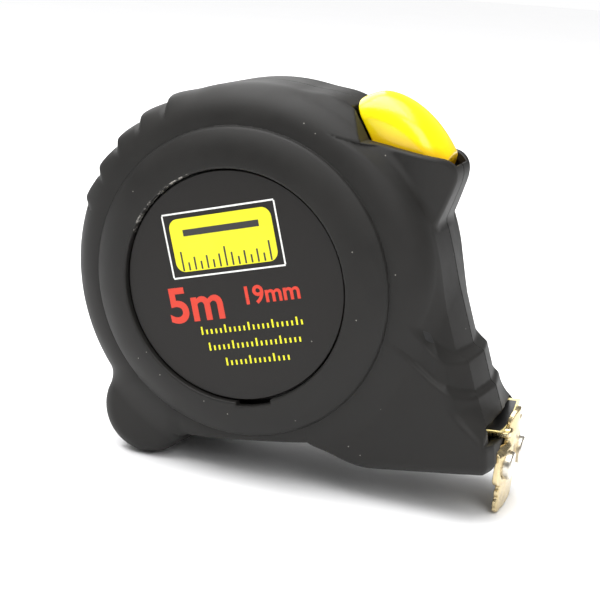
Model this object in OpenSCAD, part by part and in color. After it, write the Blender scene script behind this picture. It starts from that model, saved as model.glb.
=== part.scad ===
// Pocket tape measure: two moulded shells in a soft jacket, a spring reel with its blade,
// a magnetic end hook, a push button with its lock lever, and a belt clip.
// +X points out of the mouth, -Y is the label side and +Z is up.
// The origin is the middle of the flat foot under the nose.

/* [Body] */
// Room between the wound blade and the shell's rim
rim_room = 9.1; // [8.4:0.1:12]
// Radius of the rounded edge between the sides and the rim
shoulder_r = 7.2; // [5:0.2:9]
// How far the nose stands out in front of the jacket's circle
nose_out = 9.2; // [8:0.2:12]
// Length of the flat foot under the nose
foot_len = 22; // [16:1:26]
// Height of the arched underside above the foot
arch_h = 4.8; // [3:0.2:5.6]
// Wall of the rubber jacket
jacket_wall = 1.8; // [1.4:0.1:2.2]
// Wall of the moulded shells
shell_wall = 1.6; // [1.2:0.1:1.8]

/* [Rings and labels] */
// Height of the ring's lip above the side of the body
ring_h = 3.2; // [2:0.1:4]
// Radius of the sunk label
label_r = 21.2; // [18:0.1:25.6]
// Thickness of a label disc
label_t = 0.6; // [0.4:0.1:1]
// Depth of the label below the ring's lip
label_sink = 1; // [0.6:0.1:1.6]

/* [Reel and blade] */
// Width of the blade
blade_w = 19; // [16:0.5:20]
// Thickness of the blade with its coating
blade_t = 0.2; // [0.15:0.05:0.4]
// Height of the blade's cross curve
blade_rise = 2.1; // [1.6:0.1:2.4]
// Outer radius of the wound blade
coil_r = 23.5; // [20:0.5:30]
// Radius of the drum that the blade is wound on
drum_r = 17.5; // [14:0.5:18]
// Turns drawn in the wound blade
coil_turns = 12; // [6:1:14]
// Wall of the drum
drum_wall = 1.2; // [1:0.1:2]
// Radius of the centre post
post_r = 3; // [2.5:0.1:4]
// Turns of the mainspring
spring_turns = 9; // [5:1:11]
// Thickness of the mainspring strip
spring_t = 0.35; // [0.2:0.05:0.45]

/* [Hook] */
// Thickness of the hook plate
hook_t = 1; // [0.8:0.1:1.3]
// Lean of the hook plate back under the nose, in degrees
hook_lean = 11; // [0:1:14]
// Radius of the two magnets
magnet_r = 2.6; // [2:0.1:3]
// Free play of the hook on its rivets
hook_play = 1; // [0.5:0.1:1.2]

/* [Button and lock] */
// Half width of the push button
button_half = 6.4; // [5:0.1:7]
// Push travel of the button
button_travel = 3; // [1.5:0.1:3.5]
// Slope of the button's deck, in degrees
deck_slope = 16.5; // [10:0.5:20]
// Radius of the lock lever's pin
pin_r = 1.5; // [1:0.1:1.8]
// Half width of the lock lever
lever_half = 5; // [3:0.5:6]

/* [Belt clip] */
// Width of the belt clip
clip_w = 13; // [10:1:18]
// Thickness of the belt clip
clip_t = 1; // [0.8:0.1:1.4]
// Gap for the belt
clip_gap = 3.2; // [2:0.1:3.6]
// Length of the belt clip below its screw
clip_len = 26; // [20:1:30]

/* [Screws] */
// Radius of a case screw's thread
screw_r = 1.2; // [1:0.1:1.4]
// Radius of a case screw's head
screw_head_r = 2.2; // [1.8:0.1:2.4]

/* [Hidden] */
$fn = 96;
fit = 0.05;              // running clearance of pins in their bores
gap = 0.3;               // clearance between parts that pass each other
eps = 0.01;
big = 200;

// the reel, stacked outwards from the blade
blade_half = blade_w / 2;
flange_t = 1;
flange_in = blade_half + 0.4;
reel_half = flange_in + flange_t;
washer_t = 0.3;
washer_room = 0.5;
cavity_half = reel_half + washer_room;
flange_r = coil_r + 1.7;
washer_r = post_r + 3.2;

// walls, outwards from the reel
inner = jacket_wall + shell_wall;
case_r = coil_r + rim_room + inner;  // radius of the jacket round the reel
half = cavity_half + inner;
nose_half = half - 1;
ring_r = case_r - shoulder_r - 0.1;
lip = half + ring_h;
face = lip - label_sink;             // outer face of a label
plateau = face - label_t;            // outer face of the shell under a label
window_r = label_r + gap;

// the reel frame: x forward and y up from the reel axis, z towards the label side
foot_drop = 1.2;                     // the foot lies this far inside the jacket's circle
reel_z = case_r - foot_drop;
ground = -reel_z;
front = case_r + nose_out;
reel_x = front - 13.2;               // the reel axis stands this far behind the middle of the foot
foot_back = reel_x - foot_len / 2;

// landmarks of the front, as heights above the foot
lip_h = 8;
ridge_2_h = 15.1;
ridge_1_h = 20.9;
notch_h = 1.8;
slope_top = 7.3;

// the blade's run: low at the mouth, just under the coil at the back
curve_r = (pow(blade_half, 2) + pow(blade_rise, 2)) / (2 * blade_rise);
mouth_h = 5.6;
run_back = -14;
run_back_y = ground + arch_h + inner + blade_t + gap;
mouth_y = ground + mouth_h;
run_tilt = atan2(run_back_y - mouth_y, front - run_back);
run_len = (front - run_back) / cos(run_tilt);
mouth_half = blade_half + 0.8;

// the button's frame: origin on its deck, s forward along the deck and t outwards
button_polar = 36;
deck_r = case_r + 2.4;
button_back = -11.4;
button_front = 8;
skirt = 5;
pod_half = button_half + 2.6;
spring_s = -6.5;
spring_r = 1.9;
ledge_t = -skirt - button_travel - gap;

// the lock lever
pin_x = case_r - 7.5;
pin_y = ground + 24.8;
tail_top = deck_r * sin(button_polar) - 9 - pin_y;   // the lever's tail ends beside the button's stem
pad_t = 1.4;

// four case screws, in the reel frame
boss_r = screw_r + 1.5;
rim_boss_r = case_r - jacket_wall - boss_r - 0.4;
screw_angles = [128, 225, 78, -42];
screw_spots = [for (a = screw_angles) rim_boss_r * [cos(a), sin(a)]];
head_depth = 2.4;
clip_screw_r = 1.6;
clip_washer_t = 0.5;

black = [0.2, 0.19, 0.18];
ink = [0.1, 0.1, 0.1];
yellow = [1, 0.86, 0.05];
steel = [0.75, 0.75, 0.73];
nickel = [0.86, 0.8, 0.6];
zinc = [0.6, 0.6, 0.62];
tan_plastic = [0.85, 0.83, 0.78];

// ---- helpers -------------------------------------------------------------------------

// places a child drawn in the reel frame
module reel_frame() {
    translate([-reel_x, 0, reel_z]) rotate([90, 0, 0]) children();
}

// places a child drawn in the reel frame on the far side, as a mirror image
module far_side() {
    mirror([0, 0, 1]) children();
}

// the half space on the label side of the parting plane
module label_half() {
    translate([-big / 2, -big / 2, 0]) cube(big);
}

// moves each edge of a closed outline inwards by d; the outline runs anticlockwise
function edge_normal(a, b) = let (t = (b - a) / norm(b - a)) [-t[1], t[0]];
function meet(p, n, q, m) =
    let (det = n[0] * m[1] - n[1] * m[0], c = n * p, e = m * q)
    [(c * m[1] - e * n[1]) / det, (n[0] * e - m[0] * c) / det];
function inset(pts, d) = [
    for (i = [0:len(pts) - 1])
        let (
            a = pts[(i + len(pts) - 1) % len(pts)], b = pts[i], c = pts[(i + 1) % len(pts)],
            n = edge_normal(a, b), m = edge_normal(b, c)
        )
        meet(b + n * d, n, b + m * d, m)
];

// an Archimedean spiral strip from radius r0 to r1
function spiral(r0, r1, turns, a0, shift, steps = 40) = [
    for (i = [0:turns * steps])
        let (a = a0 + 360 * i / steps, r = r0 + (r1 - r0) * i / (turns * steps) + shift)
        [r * cos(a), r * sin(a)]
];
function reversed(v) = [for (i = [len(v) - 1:-1:0]) v[i]];
module spiral_strip(r0, r1, turns, thick, height, a0 = 0) {
    translate([0, 0, -height / 2]) linear_extrude(height)
        polygon(concat(
            spiral(r0, r1 - thick, turns, a0, thick),
            reversed(spiral(r0, r1 - thick, turns, a0, 0))
        ));
}

// ---- outer form, shrunk by d on every face ---------------------------------------------

module disc_body(d) {
    r = case_r - d;
    h = half - d;
    s = shoulder_r - d;
    rotate_extrude() {
        translate([0, -h]) square([r - s, 2 * h]);
        translate([0, -h + s]) square([r, 2 * (h - s)]);
        translate([r - s, h - s]) circle(s);
        translate([r - s, -h + s]) circle(s);
    }
}

nose_outline = [
    [foot_back, ground],
    [front - 3, ground],
    [front - 0.8, ground + 0.8],
    [front, ground + 3],
    [front - 0.3, ground + lip_h],
    [front - 1.6, ground + ridge_2_h],
    [front - 3.2, ground + ridge_2_h + notch_h],
    [front - 3.9, ground + ridge_1_h],
    [front - 6.2, ground + ridge_1_h + notch_h],
    [front - 10.7, slope_top],
    [10, slope_top + 8],
    [10, ground + arch_h + 8],
    [foot_back - 10.4, ground + arch_h]
];

// the same without its thumb ridges, for the walls behind them
nose_core = [
    [foot_back, ground],
    [front - 0.3, ground],
    [front - 0.3, ground + lip_h],
    [front - 6.2, ground + ridge_1_h + notch_h],
    [front - 10.7, slope_top],
    [10, slope_top + 8],
    [10, ground + arch_h + 8],
    [foot_back - 10.4, ground + arch_h]
];

// the nose, with its side facets and rounded cheeks
module nose_block(d) {
    centre_half = 4.5;
    lean = 15;
    intersection() {
        translate([0, 0, d - nose_half]) linear_extrude(2 * (nose_half - d))
            polygon(d == 0 ? nose_outline : inset(nose_core, d));
        translate([front - d, ground, 0]) rotate([0, 0, lean])
            rotate([-90, 0, 0]) translate([0, 0, -10]) linear_extrude(big)
                polygon([
                    [4, -centre_half], [4, centre_half],
                    [-2.2, nose_half - 2.4], [-7, nose_half + 3], [-big, nose_half + 3],
                    [-big, -nose_half - 3], [-7, -nose_half - 3], [-2.2, -nose_half + 2.4]
                ]);
    }
}

heel_r = 9.3;
heel_round = 3;
heel = [-23.5, ground + heel_r];

module heel_lobe(d) {
    h = half - 1 - d;
    r = heel_r - d;
    s = heel_round - d / 2;
    translate([heel[0], heel[1], 0]) rotate_extrude() {
        translate([0, -h]) square([r - s, 2 * h]);
        translate([0, -h + s]) square([r, 2 * (h - s)]);
        translate([r - s, h - s]) circle(s);
        translate([r - s, -h + s]) circle(s);
    }
}

module deck_frame() {
    translate([deck_r * cos(button_polar), deck_r * sin(button_polar), 0])
        rotate([0, 0, -deck_slope]) children();
}

pod_outline = [
    [-13, -14], [5, -15], [7.5, -13.5], [9.4, -8], [11.1, -3.2], [11.1, -0.6],
    [9.6, 1], [8.6, 0], [-13, 0]
];
pod_core = [[-13, -14], [5, -15], [10.8, -6.5], [10.8, 0], [-13, 0]];

module pod_block(d) {
    deck_frame() translate([0, 0, d - pod_half]) linear_extrude(2 * (pod_half - d))
        polygon(d == 0 ? pod_outline : inset(pod_core, d));
}

// the arch between the heel and the foot
module arch(d) {
    top = ground + arch_h + d;
    translate([0, 0, -big / 2]) linear_extrude(big)
        polygon([
            [heel[0] + 6, ground - 9], [foot_back + 8, ground - 9], [foot_back, ground + d],
            [foot_back - 10.4, top], [heel[0] + 8, top - 0.4]
        ]);
}

module outer_form(d) {
    difference() {
        union() {
            disc_body(d);
            nose_block(d);
            pod_block(d);
        }
        arch(d);
    }
    heel_lobe(d);
}

module ring() {
    base = half - jacket_wall;
    width = ring_r - window_r;
    rotate_extrude() polygon([
        [window_r, base], [ring_r, base], [ring_r, half + 0.19 * ring_h],
        [ring_r - 0.35 * width, half + 0.5 * ring_h], [ring_r - 0.7 * width, half + 0.82 * ring_h],
        [window_r + 0.12 * width, lip], [window_r, lip - gap]
    ]);
}

// overlapping pads over the rear of the rim
module rim_ribs() {
    count = 5;
    first = 111;
    step = 12;
    rise = 0.9;
    for (i = [0:count - 1])
        intersection() {
            rotate([0, 0, first + step * i]) translate([case_r - shoulder_r, -3.6, -half + 4])
                cube([shoulder_r + rise, 7.2, 2 * half - 8]);
            translate([0, 0, -half]) cylinder(r = case_r + rise, h = 2 * half);
        }
}

// the straight way out for the blade and the hook's tongue
module blade_way(clear_up, clear_down, clear_side, from, to) {
    translate([run_back, run_back_y, 0]) rotate([0, 0, -run_tilt])
        translate([from, -clear_down, -clear_side]) cube([to - from, clear_down + clear_up, 2 * clear_side]);
}

module mouth_cut() {
    blade_way(blade_rise + 0.9, hook_t + 1.4, mouth_half, run_len - 16, run_len + 10);
}

// the button's outline in its own frame
button_outline = [
    [button_back, -skirt], [button_front - 1, -skirt], [button_front - 0.4, 0], [button_front + 0.2, 2.6],
    [6.1, 4.6], [1.6, 7], [-2, 8], [-5.5, 8.3], [-9.6, 7.4], [button_back, 5.4]
];

module button_slot() {
    deck_frame() translate([button_back - gap, ledge_t - 1, -button_half - gap])
        cube([button_front - button_back + 2 * gap + 0.4, 40, 2 * (button_half + gap)]);
}

// the ledge that the button's spring stands on
module spring_ledge() {
    deck_frame() translate([spring_s - 2.2, ledge_t - 1, 0]) cube([4.4, 1, cavity_half + eps]);
}

// the steel plate that the hook stops against, let into the lip under the mouth
module strike_block(grow, proud = 0) {
    translate([front - 0.8 - grow, ground + 1 - grow, -blade_half + 0.5 - grow])
        cube([0.75 + grow + proud, 1.9 + 2 * grow, 2 * (blade_half - 0.5 + grow)]);
}

module screw_holes(radius, from, to) {
    for (spot = screw_spots) translate([spot[0], spot[1], from]) cylinder(r = radius, h = to - from);
}

// ---- rubber jackets and shells -----------------------------------------------------------

module jacket_half() {
    difference() {
        intersection() {
            union() {
                outer_form(0);
                rim_ribs();
                ring();
            }
            label_half();
        }
        outer_form(jacket_wall);
        cylinder(r = window_r, h = big);
        mouth_cut();
        button_slot();
        strike_block(fit, 1);
    }
}

module shell_half() {
    well_r = label_r - shell_wall - 1;
    boss_top = reel_half + washer_room - fit;
    difference() {
        union() {
            difference() {
                union() {
                    intersection() {
                        outer_form(jacket_wall);
                        label_half();
                    }
                    cylinder(r = label_r, h = plateau);
                }
                intersection() {
                    outer_form(inner);
                    translate([-big / 2, -big / 2, -cavity_half]) cube([big, big, 2 * cavity_half]);
                }
                translate([0, 0, -1]) cylinder(r = well_r, h = plateau - shell_wall + 1);
                button_slot();
            }
            intersection() {
                outer_form(jacket_wall);
                union() {
                    screw_holes(boss_r, 0, cavity_half + eps);
                    spring_ledge();
                }
            }
            translate([0, 0, boss_top]) cylinder(r = washer_r, h = plateau - boss_top - 1);
            translate([pin_x, pin_y, lever_half + 1]) cylinder(r = pin_r + 1.4, h = cavity_half - lever_half - 1 + eps);
        }
        translate([0, 0, -1]) cylinder(r = post_r + fit, h = plateau - 0.4);
        translate([pin_x, pin_y, -1]) cylinder(r = pin_r + fit, h = cavity_half + 1.2);
        mouth_cut();
        strike_block(fit, 1);
        // room for the straight run over the arched underside
        blade_way(blade_rise, blade_t + gap + 1, blade_half + gap, 0, 32);
    }
}

module grip_left() {
    color(black) reel_frame() jacket_half();
}

module grip_right() {
    color(black) reel_frame() far_side() difference() {
        jacket_half();
        screw_holes(screw_head_r + 0.6, -1, big);
    }
}

module case_left() {
    color(ink) reel_frame() difference() {
        shell_half();
        screw_holes(screw_r + fit, -1, cavity_half);
    }
}

module case_right() {
    color(ink) reel_frame() far_side() difference() {
        shell_half();
        screw_holes(screw_r + fit, -1, big);
        screw_holes(screw_head_r + fit, cavity_half - head_depth + 1, big);
        cylinder(r = clip_screw_r + fit, h = big);
    }
}

module label_disc() {
    translate([0, 0, plateau]) cylinder(r = label_r, h = label_t);
}

module label_left() {
    color(ink) reel_frame() label_disc();
}

module label_right() {
    color(ink) reel_frame() far_side() difference() {
        label_disc();
        translate([0, 0, -1]) cylinder(r = clip_screw_r + fit, h = big);
    }
}

// ---- reel, blade and mainspring ------------------------------------------------------------

module centre_post() {
    slot = spring_t + 0.3;
    color(steel) reel_frame() difference() {
        translate([0, 0, -plateau + 1.6]) cylinder(r = post_r, h = 2 * plateau - 3.2);
        translate([-slot / 2, 0, -flange_in + 1]) cube([slot, big, 2 * flange_in - 2]);
        translate([0, 0, -big]) cylinder(r = clip_screw_r + fit, h = big - flange_in - 1);
    }
}

module reel() {
    color(tan_plastic) reel_frame() difference() {
        union() {
            translate([0, 0, -flange_in]) cylinder(r = drum_r, h = 2 * flange_in);
            translate([0, 0, flange_in]) cylinder(r = flange_r, h = flange_t);
        }
        translate([0, 0, -flange_in - 1]) cylinder(r = drum_r - drum_wall, h = 2 * flange_in);
        translate([0, 0, -big / 2]) cylinder(r = post_r + fit, h = big);
    }
}

module reel_cap() {
    color(tan_plastic) reel_frame() far_side() difference() {
        union() {
            translate([0, 0, flange_in + eps]) cylinder(r = flange_r, h = flange_t - eps);
            translate([0, 0, flange_in - 0.8]) cylinder(r = drum_r - drum_wall - fit, h = 1);
        }
        translate([0, 0, -1]) cylinder(r = post_r + fit, h = big);
    }
}

module reel_washers() {
    color(steel) reel_frame() for (side = [-1, 1])
        translate([0, 0, side * (reel_half + washer_room / 2 - fit / 2) - washer_t / 2]) difference() {
            cylinder(r = washer_r, h = washer_t);
            translate([0, 0, -1]) cylinder(r = post_r + fit, h = 3);
        }
}

module mainspring() {
    color(steel) reel_frame()
        spiral_strip(post_r + 0.4, drum_r - drum_wall - 0.4, spring_turns, spring_t,
            2 * (flange_in - 1.2), 90);
}

module blade_coil() {
    color(yellow) reel_frame()
        spiral_strip(drum_r + 0.1, coil_r, coil_turns, 0.75 * (coil_r - drum_r) / coil_turns, blade_w, 90);
}

// a strip curved across its width, drawn along x from 0 to length
module curved_strip(length, width, thick, under = 0) {
    deg = asin(width / 2 / curve_r);
    translate([0, curve_r, 0]) rotate([0, 90, 0]) linear_extrude(length) intersection() {
        difference() {
            circle(curve_r + under + thick);
            circle(curve_r + under);
        }
        polygon([
            [0, 0], [-2 * curve_r * sin(deg), -2 * curve_r * cos(deg)],
            [2 * curve_r * sin(deg), -2 * curve_r * cos(deg)]
        ]);
    }
}

module run_frame() {
    translate([run_back, run_back_y, 0]) rotate([0, 0, -run_tilt]) children();
}

rivet_r = 1;
tongue_w = blade_w - 7;
rivet_z = tongue_w / 2 - rivet_r - 1.6;
rivet_back = 5;          // the rivets stand this far behind the blade's end
blade_end = run_len + 0.4;

module rivet_spots() {
    for (side = [-1, 1])
        translate([blade_end - rivet_back, 0, side * rivet_z]) rotate([90, 0, 0]) children();
}

module blade_lead() {
    color(yellow) reel_frame() run_frame() difference() {
        curved_strip(blade_end, blade_w, blade_t);
        rivet_spots() cylinder(r = rivet_r + fit, h = 12, center = true);
    }
}

// ---- hook ------------------------------------------------------------------------------------

hook_x = blade_end + 0.6;
hook_w = blade_w - 2;    // width of the hook's middle
claw_w = hook_w - 3.5;   // width of its toothed lower part
tongue_len = 9;
claw_low = 15.2;         // the claw's tip below the blade
magnet_y = -5.4;
magnet_z = hook_w / 2 - magnet_r - 1.5;
magnet_out = 0.9;

module hook_plate_outline() {
    shoulder = -8.6;
    polygon([
        [-tongue_w / 2 + 0.6, 5.6], [tongue_w / 2 - 0.6, 5.6],
        [tongue_w / 2, 4.6], [tongue_w / 2, 0.6], [hook_w / 2 - 0.8, -0.2], [hook_w / 2, -1.4],
        [hook_w / 2, shoulder + 0.8], [hook_w / 2 - 1, shoulder],
        [claw_w / 2, shoulder], [claw_w / 2, 1 - claw_low], [claw_w / 2 - 1, -claw_low],
        [-claw_w / 2 + 1, -claw_low], [-claw_w / 2, 1 - claw_low], [-claw_w / 2, shoulder],
        [-hook_w / 2 + 1, shoulder], [-hook_w / 2, shoulder + 0.8],
        [-hook_w / 2, -1.4], [-hook_w / 2 + 0.8, -0.2], [-tongue_w / 2, 0.6], [-tongue_w / 2, 4.6]
    ]);
}

// notches along both edges of the claw
module claw_teeth() {
    pitch = 2.1;
    for (side = [-1, 1]) for (i = [0:2])
        translate([-1, -9.9 - pitch * i, side * claw_w / 2])
            rotate([0, 90, 0]) cylinder(r = 0.55, h = hook_t + 2, $fn = 24);
}

module hook_frame() {
    run_frame() translate([hook_x, 0, 0]) children();
}

module lean_frame() {
    hook_frame() rotate([0, 0, run_tilt - hook_lean]) children();
}

module hook() {
    color(nickel) reel_frame() {
        lean_frame() difference() {
            rotate([0, 90, 0]) linear_extrude(hook_t) hook_plate_outline();
            claw_teeth();
            for (side = [-1, 1]) translate([-1, magnet_y, side * magnet_z]) rotate([0, 90, 0])
                cylinder(r = magnet_r + fit, h = hook_t + 2);
        }
        run_frame() difference() {
            translate([hook_x - tongue_len, 0, 0])
                curved_strip(tongue_len + 0.6, tongue_w, hook_t, blade_t + 0.05);
            rivet_spots() for (shift = [0, -hook_play])
                translate([shift, 0, 0]) cylinder(r = rivet_r + fit, h = 12, center = true);
            rivet_spots() translate([-hook_play, -rivet_r - fit, -6]) cube([hook_play, 2 * (rivet_r + fit), 12]);
        }
    }
}

module hook_rivets() {
    head_r = 1.7;
    head_t = 0.5;
    drop = curve_r - sqrt(pow(curve_r, 2) - pow(rivet_z, 2));
    above = drop + 0.4;                       // clear of the blade's hollow side
    below = -hook_t - blade_t - 0.15;         // clear of the tongue's round side
    color(steel) reel_frame() run_frame() rivet_spots() {
        translate([0, 0, -above - head_t]) cylinder(r = rivet_r, h = above - below + 2 * head_t);
        translate([0, 0, -above - head_t]) cylinder(r = head_r, h = head_t);
        translate([0, 0, -below]) cylinder(r = head_r, h = head_t);
    }
}

module hook_magnets() {
    color(zinc) reel_frame() lean_frame() for (side = [-1, 1])
        translate([0.1, magnet_y, side * magnet_z]) rotate([0, 90, 0])
            cylinder(r = magnet_r, h = hook_t + magnet_out - 0.1);
}

// ---- button and lock ----------------------------------------------------------------------------

module lock_button() {
    color(yellow) reel_frame() deck_frame() difference() {
        union() {
            translate([0, 0, -button_half]) linear_extrude(2 * button_half) polygon(button_outline);
            translate([0, 0, 1 - lever_half]) linear_extrude(2 * lever_half - 2)
                polygon([[-3.5, -skirt - eps], [0.5, -skirt - 6], [3, -skirt - 6], [3, 0], [-3.5, 0]]);
        }
        translate([spring_s, -skirt - 1, 0]) rotate([-90, 0, 0]) cylinder(r = spring_r + gap, h = 4.4);
    }
}

module button_spring() {
    color(steel) reel_frame() deck_frame() translate([spring_s, ledge_t + fit, 0]) rotate([-90, 0, 0])
        difference() {
            cylinder(r = spring_r, h = -skirt + 3.3 - ledge_t);
            translate([0, 0, -1]) cylinder(r = spring_r - 0.5, h = 20);
        }
}

// the lever hangs from its pin, with its tail behind the button's stem
lever_outline = [
    [-1.8, -1.8], [4.6, -13], [9.6, -13], [2.6, 0], [1.2, 6], [-1.5, tail_top], [-3.6, tail_top], [-2.8, 6]
];

module lock_lever() {
    color(tan_plastic) reel_frame() translate([pin_x, pin_y, -lever_half]) difference() {
        linear_extrude(2 * lever_half) {
            polygon(lever_outline);
            circle(pin_r + 1.3);
        }
        translate([0, 0, -1]) cylinder(r = pin_r + fit, h = big);
    }
}

module lever_pin() {
    color(steel) reel_frame() translate([pin_x, pin_y, -cavity_half])
        cylinder(r = pin_r, h = 2 * cavity_half);
}

module brake_pad() {
    color(black) reel_frame() translate([pin_x + 4.6, pin_y - 13 - pad_t, -lever_half])
        cube([5, pad_t, 2 * lever_half]);
}

module mouth_guide() {
    color(steel) reel_frame() run_frame() difference() {
        translate([run_len - 15, -2.5, -mouth_half + 0.2]) cube([5, 4.4, 2 * mouth_half - 0.4]);
        translate([0, curve_r, 0]) rotate([0, 90, 0]) cylinder(r = curve_r + blade_t + gap, h = big);
    }
}

module strike_plate() {
    color(nickel) reel_frame() strike_block(0);
}

// ---- fasteners and belt clip ------------------------------------------------------------------

head_seat = cavity_half - head_depth + 1;

module case_screws() {
    color(zinc) reel_frame() far_side() {
        screw_holes(screw_r, -cavity_half + 1, head_seat + 1);
        screw_holes(screw_head_r, head_seat, head_seat + 2);
    }
}

// a bent strip of thickness t on the outer side of a line of points
function corner_normal(a, b, c) = let (n = edge_normal(a, b), m = edge_normal(b, c)) (n + m) / (1 + n * m);
function strip(pts, t) = let (last = len(pts) - 1) concat(pts, [
    for (i = [last:-1:0])
        pts[i] + t * (i == 0 ? edge_normal(pts[0], pts[1])
            : i == last ? edge_normal(pts[last - 1], pts[last])
            : corner_normal(pts[i - 1], pts[i], pts[i + 1]))
]);

clip_line = [
    [8, face], [-6, face], [-9.5, face + clip_gap], [-clip_len + 6, face + clip_gap - 0.3],
    [-clip_len + 1.5, face + 0.9], [-clip_len - 1.5, face + 3]
];

module belt_clip() {
    color(steel) reel_frame() far_side() difference() {
        rotate([90, 0, 90]) translate([0, 0, -clip_w / 2]) linear_extrude(clip_w)
            polygon(strip([for (i = [len(clip_line) - 1:-1:0]) clip_line[i]], clip_t));
        cylinder(r = clip_screw_r + fit, h = big);
    }
}

module clip_washer() {
    color(zinc) reel_frame() far_side() translate([0, 0, face + clip_t]) difference() {
        cylinder(r = 3.6, h = clip_washer_t);
        translate([0, 0, -1]) cylinder(r = clip_screw_r + fit, h = 3);
    }
}

module clip_screw() {
    seat = face + clip_t + clip_washer_t;
    color(zinc) reel_frame() far_side() {
        translate([0, 0, flange_in + 1.4]) cylinder(r = clip_screw_r, h = seat - flange_in - 1);
        difference() {
            translate([0, 0, seat]) cylinder(r = 2.9, h = 1.5);
            for (turn = [0, 90]) rotate([0, 0, turn]) translate([-1.8, -0.3, seat + 0.7]) cube([3.6, 0.6, 2]);
        }
    }
}

grip_left();
grip_right();
case_left();
case_right();
label_left();
label_right();
centre_post();
reel();
reel_cap();
reel_washers();
mainspring();
blade_coil();
blade_lead();
hook();
hook_rivets();
hook_magnets();
lock_button();
button_spring();
lock_lever();
lever_pin();
brake_pad();
mouth_guide();
strike_plate();
case_screws();
belt_clip();
clip_screw();
clip_washer();
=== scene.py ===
"""Pocket tape measure in a soft black jacket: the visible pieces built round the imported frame.

Lengths in the classes are millimetres in the reel frame: x forward and z up from the reel's axis,
and w outwards from the parting plane. Placing them turns them into metres in the frame's axes.
"""

import logging
import math
from collections.abc import Callable
from dataclasses import dataclass, field
from enum import Enum

import bmesh
import bpy
import numpy as np
from mathutils import Matrix, Vector


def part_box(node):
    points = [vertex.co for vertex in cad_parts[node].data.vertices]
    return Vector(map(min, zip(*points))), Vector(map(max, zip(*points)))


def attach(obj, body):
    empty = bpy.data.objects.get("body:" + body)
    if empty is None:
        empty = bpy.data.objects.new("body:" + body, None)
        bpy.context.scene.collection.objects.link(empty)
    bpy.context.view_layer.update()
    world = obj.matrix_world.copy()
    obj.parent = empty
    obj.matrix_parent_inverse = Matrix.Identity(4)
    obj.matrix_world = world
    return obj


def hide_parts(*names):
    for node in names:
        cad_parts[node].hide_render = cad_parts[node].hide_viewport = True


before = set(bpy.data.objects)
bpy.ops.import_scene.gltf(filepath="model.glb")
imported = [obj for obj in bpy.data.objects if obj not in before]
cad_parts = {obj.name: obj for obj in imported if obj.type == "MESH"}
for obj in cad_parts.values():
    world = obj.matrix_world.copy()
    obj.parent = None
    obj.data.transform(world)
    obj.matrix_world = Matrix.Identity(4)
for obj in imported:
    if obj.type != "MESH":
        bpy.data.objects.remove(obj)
LOG = logging.getLogger("tape_measure")
MM = 0.001
Array = np.ndarray
Span = float | Array
Point = tuple[float, float]
Colour = tuple[float, float, float]
Form = Callable[[Array, Array, Array], Array]


class Side(Enum):
    """The two sides of the body, as the sign of y in the frame."""

    LABEL = -1
    CLIP = 1

    @property
    def tag(self) -> str:
        """The side as the ending of a piece's name."""
        return "left" if self is Side.LABEL else "right"


# ---- solid forms as signed distances ---------------------------------------------------------


def edge(a: Array, b: Array, radius: float) -> Array:
    """Where two forms meet inside both, with a rounded edge.

    Args:
        a: Signed distance to the first form.
        b: Signed distance to the second form.
        radius: Radius of the edge.

    Returns:
        The signed distance to what lies in both.
    """
    outer = np.hypot(np.maximum(a + radius, 0), np.maximum(b + radius, 0))
    return np.minimum(np.maximum(a, b), -radius) + outer


def fillet(a: Array, b: Array, radius: float) -> Array:
    """Two forms joined, with a hollow fillet where they meet.

    Args:
        a: Signed distance to the first form.
        b: Signed distance to the second form.
        radius: Radius of the fillet.

    Returns:
        The signed distance to the joined form.
    """
    inner = np.hypot(np.maximum(radius - a, 0), np.maximum(radius - b, 0))
    return np.maximum(np.minimum(a, b), radius) - inner


def turned(u: Span, v: Span, angle: float) -> tuple[Span, Span]:
    """Turns a pair of distances by an angle.

    Args:
        u: The first distance.
        v: The second distance.
        angle: The angle, from the first axis towards the second.

    Returns:
        The pair along the turned axes.
    """
    c, s = math.cos(angle), math.sin(angle)
    return u * c - v * s, u * s + v * c


def ahead(x: Array, z: Array, start: Point, end: Point) -> Array:
    """Signed distance from a line in the side view.

    Args:
        x: Distances forward.
        z: Heights.
        start: Where the line starts.
        end: Where it ends.

    Returns:
        The distance, positive on the left hand going from start to end.
    """
    length = math.dist(start, end)
    dx, dz = (end[0] - start[0]) / length, (end[1] - start[1]) / length
    return (x - start[0]) * -dz + (z - start[1]) * dx


def ease(value: Array, low: float, high: float) -> Array:
    """Goes smoothly from 0 at low to 1 at high."""
    t = np.clip((value - low) / (high - low), 0, 1)
    return t * t * (3 - 2 * t)


def slab(value: Array, low: float, high: float) -> Array:
    """Signed distance to the space between two parallel faces."""
    return np.maximum(low - value, value - high)


def gradient(form: Form, points: Array, reach: float = 0.03) -> tuple[Array, Array]:
    """The form's value and slope at points.

    Args:
        form: The signed distance.
        points: Rows of x, w and z.
        reach: How far apart the samples lie.

    Returns:
        The values and the gradients.
    """
    here = form(*points.T)
    slopes = []
    for axis in range(3):
        moved = points.copy()
        moved[:, axis] += reach
        slopes.append((form(*moved.T) - here) / reach)
    return here, np.stack(slopes, axis=1)


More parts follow.
